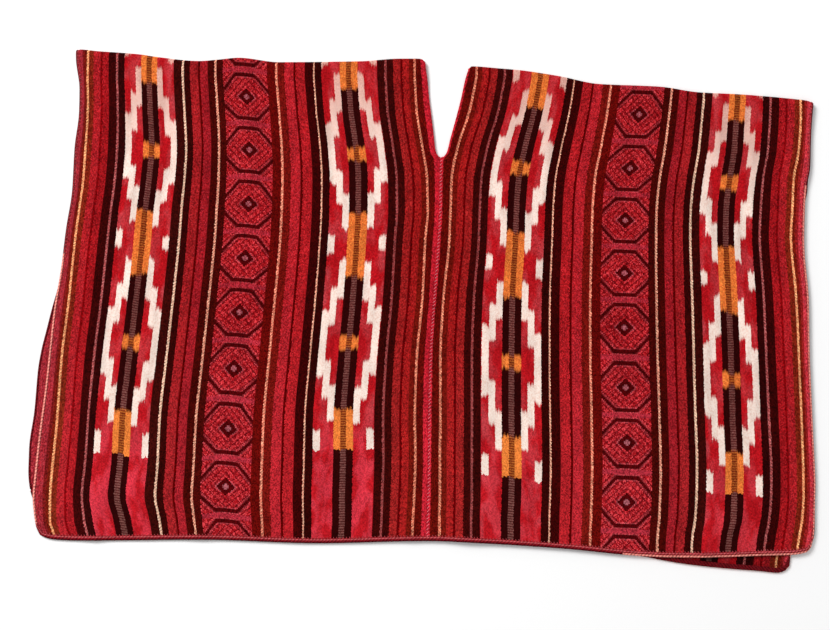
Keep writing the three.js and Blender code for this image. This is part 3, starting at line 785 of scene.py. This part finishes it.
def webMaterial(side):  # warp-faced handspun wool: matt, with flecked yarns and ragged stripe edges
    material, add = emptyMaterial(f"warp_faced_wool_{side}")
    webOwn, plied = webPaintedLightAndPink[side], weave["plied"]
    places = clothPlaces(add)
    pattern = stripeColours(add, places)
    lineYarn = add("ShaderNodeSeparateColor", (pattern,), 1)
    lineYarn = add(remap, (lineYarn, *weave["line"], 0.0, 1.0))
    figures = ikatColours(add, places, side), medallionColours(add, places, side)
    for inBand, figure in figures:
        pattern = add(blend, {0: inBand, 6: pattern, 7: figure}, **asColour)
    # painted sheen: the front's lower half is paler and pinker, but not the light lines or the very edge
    paintedSheen = add(remap, (places["down"], *toneAndPaintedLight["paintedSheen"], 0.0, 1.0), **smooth)
    sideways = add(remap, (places["across"], *toneAndPaintedLight["across"], webOwn["outer"], webOwn["inner"]))
    inFrom = add(remap, (places["across"], *toneAndPaintedLight["bareEdge"], 0.0, 1.0))
    spared = add(remap, (lineYarn, 0.0, 1.0, 1.0, 0.15))
    for factor in (sideways, inFrom, spared):
        paintedSheen = add("MULTIPLY", (paintedSheen, factor))
    # painted shade: the back's hem darker, where the front hangs over it
    paintedHemShade = add(remap, (places["down"], *toneAndPaintedLight["paintedHemShade"], 0.6, 1.0))
    shade = add(remap, (places["own"], 0.0, 1.0, *weave["bead"]))
    # painted shade in the valleys between the yarns, and painted light on their crowns
    valley = add(remap, (places["dome"], 0.0, 1.0, 0.7, 1.14))
    shade = add("MULTIPLY", (shade, valley))
    # undyed yarn is lit through and hides its own shadows
    pale = add("ShaderNodeSeparateColor", (pattern,), 1)
    pale = add(remap, (pale, *weave["undyed"], 0.0, 0.85))
    pale = add("MULTIPLY_ADD", (figures[0][0], 0.42, pale))
    pale = add("MINIMUM", (pale, 0.9))
    shade = add(blend, {0: pale, 2: shade, 3: 1.0}, data_type="FLOAT")
    twist = add("MULTIPLY_ADD", (places["across"], plied["lean"], places["down"]))
    twist = add("MULTIPLY", (twist, 2 * math.pi / plied["pitch"]))
    twist = add("SINE", (twist,))
    twist = add(remap, (twist, -1.0, 1.0, *plied["shade"]))
    twist = add(blend, {0: lineYarn, 2: 1.0, 3: twist}, data_type="FLOAT")
    # painted light and shade on the outer band: lighter on the right web, darker on the left
    paintedEdgeLight = add(remap, (places["across"], *toneAndPaintedLight["edge"], webOwn["edge"], 1.0))
    cloud = patches(add, places["plane"], *toneAndPaintedLight["cloud"])
    for factor in (cloud, paintedHemShade, twist, paintedEdgeLight):
        shade = add("MULTIPLY", (shade, factor))
    spun = add("ShaderNodeVectorMath", (pattern, shade), operation="MULTIPLY")
    # painted glints: a few yarns turn pink, where the light catches them
    bright = add("ShaderNodeSeparateColor", (places["own"].node.outputs[1],), 1)
    bright = add(remap, (bright, 0.6, 0.75, 0.0, 1.0))
    dullTint, glintTint = weave["tint"]
    tint = add(blend, {0: bright, 6: dullTint, 7: glintTint}, **asColour)
    tint = add(blend, {0: paintedSheen, 6: tint, 7: weave["paintedSheen"]}, **asColour)
    tint = add(blend, {0: pale, 6: tint, 7: (1, 1, 1, 1)}, **asColour)
    spun = add("ShaderNodeVectorMath", (spun, tint), operation="MULTIPLY")
    height = add("MULTIPLY_ADD", (places["own"], 0.35, places["dome"]))
    bump = add("ShaderNodeBump", {"Strength": 0.6, "Distance": weave["relief"], "Height": height})
    finishWool(add, spun, bump)
    return material


edging = {  # woven ribs across the edging, in mm, and the shades of its rows from the inner edge outwards, the dark outer rows being painted shade on the edging's rolled outer side
    "rib": 5.4, "lean": 0.9, "grain": (1.6667, 2.2222), "relief": 0.5 * mm, "reach": 1.9,
    "rows": [(0, "#84181f"), (0.2, "#ac4c50"), (0.46, "#80161e"), (0.84, "#540a12"), (1.4, "#5c0e14")],
    # rim: a lighter row, up the sides a painted highlight; shade: painted shade in the rib troughs
    "rim": "#dc8478", "shade": (0.36, 1.1), "speck": 0.6,
    "sideCover": 1.8,  # how much the lip covers up the sides
}


def edgingMaterial(name, width, bright):  # narrow wool edging, ribbed across, with a lighter rim in places
    material, add = emptyMaterial(name)
    plane, across, along = clothPlane(add)
    slant = add("MULTIPLY_ADD", (across, edging["lean"], along))
    ribPhase = add("MULTIPLY", (slant, 2 * math.pi / edging["rib"]))
    rib = add("SINE", (ribPhase,))
    reach = width * edging["reach"]
    at = add(remap, (across, 0.0, reach, 0.0, 1.0))
    body = setStops(add("ShaderNodeValToRGB", (at,)), (0, reach),
                    [(width * share, colour) for share, colour in edging["rows"]])
    rim = 1.0
    for value, (low, high) in ((across, bright["across"]), (along, bright["along"])):
        past = add("GREATER_THAN", (value, low))
        short = add("LESS_THAN", (value, high))
        within = add("MULTIPLY", (past, short))
        rim = add("MULTIPLY", (within, rim))
    # the lighter rim: on the hems a peach row, up the sides a painted highlight along the front's rolled
    # edge
    body = add(blend, {0: rim, 6: body, 7: edging["rim"]}, **asColour)
    wide, tall = edging["grain"]
    grainAt = add("ShaderNodeMapping", {0: plane, 3: (1 / wide, 1 / tall, 1)})
    grainAt = add("ShaderNodeVectorMath", (grainAt,), operation="FLOOR")
    grain = add("ShaderNodeTexWhiteNoise", (grainAt,), noise_dimensions="2D")
    # painted shade in the troughs between the ribs
    shade = add(remap, (rib, -1.0, 1.0, *edging["shade"]))
    shade = add("MULTIPLY_ADD", (grain, edging["speck"], shade))
    ribbed = add("ShaderNodeVectorMath", (body, shade), operation="MULTIPLY")
    bump = add("ShaderNodeBump", {"Strength": 0.5, "Distance": edging["relief"], "Height": rib})
    finishWool(add, ribbed, bump)
    return material


plyLength = 1.111  # mm between the twists of the sewing yarn


def yarnMaterial(name, colour):  # two-ply sewing yarn: its twist shows as short slanting flecks
    material, add = emptyMaterial(name)
    place = add("ShaderNodeTexCoord", out=3)
    placed = add("ShaderNodeMapping", {0: place, 3: [1 / (plyLength * mm)] * 3})
    ply = add("ShaderNodeTexNoise", {"Vector": placed, "Scale": 1.0, "Detail": 1.0})
    shade = add(remap, (ply, 0.3, 0.7, 0.75, 1.2))
    twisted = add("ShaderNodeVectorMath", (linear(colour)[:3], shade), operation="MULTIPLY")
    shader = add("ShaderNodeBsdfPrincipled", {
        "Base Color": twisted, "Roughness": 0.85, "Specular IOR Level": 0.1,
        "Sheen Weight": 0.02, "Sheen Roughness": 0.6})
    add("ShaderNodeOutputMaterial", (shader,))
    return material


webLeft.data.materials.append(webMaterial("left"))
webRight.data.materials.append(webMaterial("right"))
brightRims = {  # where the rim is lighter, up the sides as a painted highlight along the front's rolled edge: mm over the edging, and mm along it
    hemFront: {"across": (4.6, 8.2), "along": (930, 1300)},
    hemBack: {"across": (5.8, 7.8), "along": (880, 1300)},
    sideLeft: {"across": (0.3, 3.4), "along": (0, 430)},
    sideRight: {"across": (0.3, 2.6), "along": (0, 560)},
}
for piece, bright in brightRims.items():
    width = cloth["lipWidth"] if piece in (hemFront, hemBack) else edging["sideCover"]
    piece.data.materials.append(edgingMaterial(f"wool_{piece.name}", width, bright))
print("poncho: cloth dyed")

# Hand sewing, in mm: whip stitches over the middle seam, and small overcast stitches at the bindings.
sewing = {
    "seam": {"pitch": 5.6, "reach": 5.2, "yarn": 0.5, "rise": 0.8, "slant": 42, "colour": "#f07c88"},
    "hem": {"pitch": 5.0, "reach": 3.2, "yarn": 0.42, "rise": 0.6, "slant": 30, "colour": "#bc4a50"},
    "side": {"pitch": 6.4, "reach": 2.6, "yarn": 0.4, "rise": 0.55, "slant": 24, "colour": "#d06468"},
}
needle = {  # where the stitches round the edges run, in the cloth's rows and columns, and their form
    "hemRow": 1.05, "start": 1.2, "end": 0.9, "corner": 3.5, "pastLip": 0.06,
    "rise": 0.35,  # in mm over the cloth's face
    "dip": -1.2,  # how deep a stitch's ends go, over its yarn's radius
    "steps": 4, "sides": 5, "uneven": 0.16,
}


def stitchTree():  # overcast stitches along a path, lying across it on the surface it follows
    tree = bpy.data.node_groups.new("overcastStitches", "GeometryNodeTree")
    tree.interface.new_socket("Path", in_out="INPUT", socket_type="NodeSocketGeometry")
    for name in ("Pitch", "Reach", "Yarn", "Rise", "Slant"):
        tree.interface.new_socket(name, in_out="INPUT", socket_type="NodeSocketFloat")
    tree.interface.new_socket("Seed", in_out="INPUT", socket_type="NodeSocketInt")
    tree.interface.new_socket("Thread", in_out="INPUT", socket_type="NodeSocketMaterial")
    tree.interface.new_socket("Stitches", in_out="OUTPUT", socket_type="NodeSocketGeometry")
    add = partial(addNode, tree)
    path = add("NodeGroupInput")
    given = {socket.name: socket for socket in path.node.outputs if socket.name}
    curve = add("GeometryNodeMeshToCurve", (given["Path"],))
    curve = add("GeometryNodeResampleCurve", {"Curve": curve, "Length": given["Pitch"]}, mode="LENGTH")
    half = add("MULTIPLY", (given["Reach"], 0.5))
    back = add("MULTIPLY", (given["Reach"], -0.5))
    dip = add("MULTIPLY", (given["Yarn"], needle["dip"]))
    peak = add("MULTIPLY", (given["Rise"], 2.0))
    start = add("ShaderNodeCombineXYZ", (0.0, back, dip))
    middle = add("ShaderNodeCombineXYZ", (0.0, 0.0, peak))
    end = add("ShaderNodeCombineXYZ", (0.0, half, dip))
    loop = add("GeometryNodeCurveQuadraticBezier", (needle["steps"], start, middle, end))
    section = add("GeometryNodeCurvePrimitiveCircle", {
        "Resolution": needle["sides"], "Radius": given["Yarn"]})
    stitch = add("GeometryNodeCurveToMesh", {"Curve": loop, "Profile Curve": section, "Fill Caps": True})
    stitch = add("GeometryNodeSetShadeSmooth", {"Geometry": stitch})
    out = add("GeometryNodeInputNamedAttribute", ("out",), data_type="FLOAT_VECTOR")
    facing = add("FunctionNodeAlignRotationToVector", {"Vector": out}, axis="Z")
    tangent = add("GeometryNodeInputTangent")
    facing = add("FunctionNodeAlignRotationToVector", {"Rotation": facing, "Vector": tangent}, axis="X",
                 pivot_axis="Z")
    uneven = add("FunctionNodeRandomValue", {
        2: -needle["uneven"], 3: needle["uneven"], "Seed": given["Seed"]}, 1, data_type="FLOAT")
    lean = add("ADD", (given["Slant"], uneven))
    lean = add("ShaderNodeCombineXYZ", (0.0, 0.0, lean))
    facing = add("FunctionNodeRotateRotation", {"Rotation": facing, "Rotate By": lean},
                 rotation_space="LOCAL")
    sewn = add("GeometryNodeInstanceOnPoints", {"Points": curve, "Instance": stitch, "Rotation": facing})
    sewn = add("GeometryNodeRealizeInstances", (sewn,))
    sewn = add("GeometryNodeSetMaterial", {"Geometry": sewn, "Material": given["Thread"]})
    add("NodeGroupOutput", (sewn,))
    return tree


def sew(name, kind, points, outs, tree, seed):
    facts = sewing[kind]
    middle = np.array([*cloth["middle"], 0])
    mesh = bpy.data.meshes.new(f"{name}_path")
    mesh.from_pydata(((np.asarray(points) - middle) * mm).tolist(),
                     [(k, k + 1) for k in range(len(points) - 1)], [])
    mesh.attributes.new("out", "FLOAT_VECTOR", "POINT").data.foreach_set("vector", np.asarray(outs).ravel())
    line = bpy.data.objects.new(f"{name}_path", mesh)
    scene.collection.objects.link(line)
    modifier = line.modifiers.new("stitches", "NODES")
    modifier.node_group = tree
    values = {key.capitalize(): facts[key] * mm for key in ("pitch", "reach", "yarn", "rise")}
    values |= {"Slant": math.radians(facts["slant"]), "Seed": seed, "Thread": threadMaterials[kind]}
    for socket in tree.interface.items_tree:
        if socket.name in values:
            modifier[socket.identifier] = values[socket.name]
    evaluated = line.evaluated_get(bpy.context.evaluated_depsgraph_get())
    sewn = bpy.data.objects.new(name, bpy.data.meshes.new_from_object(evaluated))
    line.modifiers.clear()
    bpy.data.objects.remove(line)
    scene.collection.objects.link(sewn)
    return sewn


threadMaterials = {kind: yarnMaterial(f"two_ply_wool_yarn_{kind}", facts["colour"])
                   for kind, facts in sewing.items()}


def seamPath(rows):  # along the middle seam, on the outer face of both webs
    points, outs = [], []
    for row in rows:
        (left, leftOut), (right, rightOut) = ((webs[side]["places"][row, -1], webs[side]["out"][row, -1])
                                              for side in ("left", "right"))
        out = (leftOut + rightOut) / np.linalg.norm(leftOut + rightOut)
        points.append((left + right) / 2 + out * cloth["wall"] / 2)
        outs.append(out)
    return points, outs


def lipPath(surface, cells):  # along the inner edge of a binding's lip
    points, outs = [], []
    for column, row in cells:
        place, out = placeOn(surface, column, row)
        points.append(place + out * (cloth["wall"] / 2 + needle["rise"]))
        outs.append(out)
    return points, outs


stitches = stitchTree()
frontRows, slotRows = webs["left"]["frontRows"], webs["left"]["slotRows"]
sewn = [sew("seam_stitches_front", "seam", *seamPath(range(1, frontRows - slotRows)), stitches, 3)]
backStart = frontRows + cloth["bendSteps"] - 1 + slotRows
sewn.append(sew("seam_stitches_back", "seam", *seamPath(range(backStart, lastRow)), stitches, 4))
for name, row, seed in (("front", needle["hemRow"], 5), ("back", lastRow - needle["hemRow"], 6)):
    cells = [(column, row) for column in np.arange(needle["start"], columnsAcross - needle["end"], 1)]
    left, right = (lipPath(webs[side], cells) for side in ("left", "right"))
    paths = (left[0] + right[0][::-1], left[1] + right[1][::-1])
    sewn.append(sew(f"hem_stitches_{name}", "hem", *paths, stitches, seed))
for side in ("left", "right"):
    rows = np.arange(needle["corner"], lastRow - needle["corner"], 1)
    cells = [(binding["sideLip"] + needle["pastLip"], row) for row in rows]
    sewn.append(sew(f"side_stitches_{side}", "side", *lipPath(webs[side], cells), stitches, 7))
print("poncho: sewn,", sum(len(piece.data.polygons) for piece in sewn), "faces of stitches")

for piece in (webLeft, webRight, *bindings.values(), *sewn):
    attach(piece, "root")

# Floor, light and camera
studio = {
    "distance": 2.0, "tilt": 6.5, "focalPixels": 1250, "width": 830,
    "floor": "#fafafa", "floorDrop": 0.0004, "floorReach": 15, "sky": 0.56,
    "key": {"place": (-3.6, 3.1, 4.4), "size": 2.6, "power": 360},
}
floorMesh = bpy.data.meshes.new("floor")
reach, drop = studio["floorReach"], studio["floorDrop"]
corners = [(x * reach, y * reach, -drop) for x, y in ((-1, -1), (1, -1), (1, 1), (-1, 1))]
floorMesh.from_pydata(corners, [], [(0, 1, 2, 3)])
floor = bpy.data.objects.new("floor", floorMesh)
scene.collection.objects.link(floor)
paper = bpy.data.materials.new("matt_white_paper")
paper.use_nodes = True
matt = paper.node_tree.nodes["Principled BSDF"].inputs
matt["Base Color"].default_value = linear(studio["floor"])
matt["Roughness"].default_value = 0.95
floorMesh.materials.append(paper)

world = bpy.data.worlds.new("studio")
world.use_nodes = True
sky = world.node_tree.nodes["Background"].inputs
sky[0].default_value = (1, 1, 1, 1)
sky[1].default_value = studio["sky"]
scene.world = world
lamp = bpy.data.lights.new("key", "AREA")
lamp.size, lamp.energy = studio["key"]["size"], studio["key"]["power"]
light = bpy.data.objects.new("key", lamp)
light.location = studio["key"]["place"]
aimX, aimY, aimZ = (-value for value in studio["key"]["place"])
light.rotation_euler = (math.atan2(math.hypot(aimX, aimY), -aimZ), 0, math.atan2(aimY, aimX) - math.pi / 2)
scene.collection.objects.link(light)

tilt = math.radians(studio["tilt"])
middleX, middleY = (value * mm for value in cloth["middle"])
camera = bpy.data.objects.new("camera", bpy.data.cameras.new("camera"))
camera.data.lens = camera.data.sensor_width * studio["focalPixels"] / studio["width"]
backOff, high = studio["distance"] * math.sin(tilt), studio["distance"] * math.cos(tilt)
camera.location = (-middleX, -middleY - backOff, high)
camera.rotation_euler = (tilt, 0, 0)
scene.collection.objects.link(camera)
scene.camera = camera
scene.view_settings.view_transform = "Standard"
print("poncho: floor, light and camera set")
